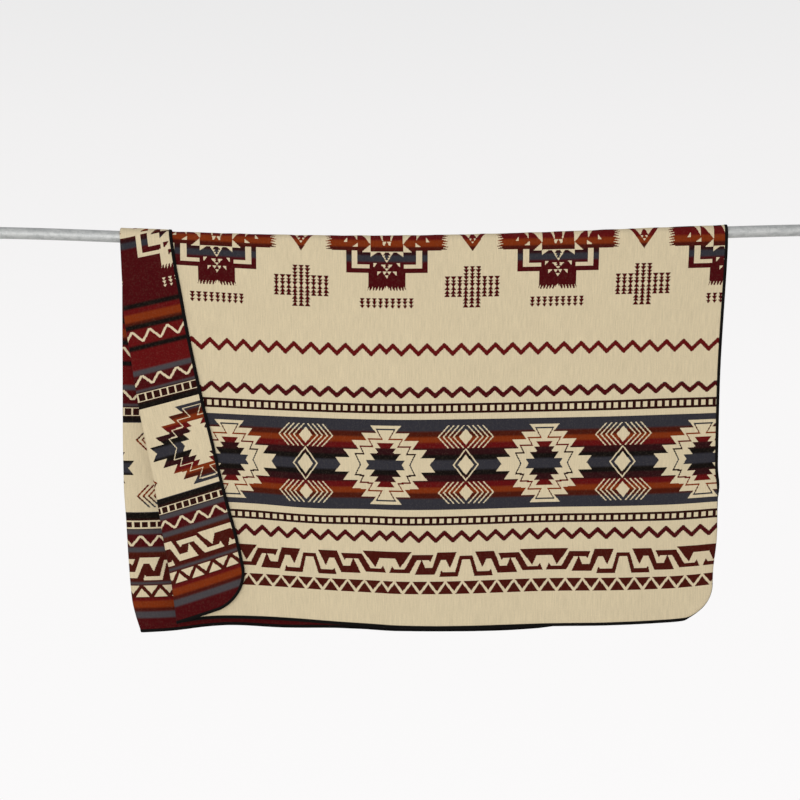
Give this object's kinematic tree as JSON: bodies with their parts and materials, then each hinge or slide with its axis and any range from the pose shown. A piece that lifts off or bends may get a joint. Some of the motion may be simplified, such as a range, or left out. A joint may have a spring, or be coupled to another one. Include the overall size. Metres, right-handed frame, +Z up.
{
  "type": "throw blanket on a rod",
  "caption": "Reversible woven throw blanket with geometric rows and a black tape edge, hung over a plain round rod, one side turned over to show its coloured reverse.",
  "frame": {"origin": "centre of the rod's left end face, as seen from the front", "axes": "+X along the rod to its right end, -Y towards the viewer on the front panel's side, +Z up"},
  "size_m": [2.6, 0.0943, 1.177],
  "materials": {
    "blanket_cloth": "soft double-faced jacquard weave, cream with dark patterns on one face, striped dark colours with cream patterns on the other",
    "edge_binding": "black woven tape, stitched",
    "rod": "dull mottled galvanised"
  },
  "bodies": {
    "root": {"blanket_cloth": "blanket_cloth", "edge_binding": "edge_binding", "rod": "rod"}
  },
  "joints": []
}
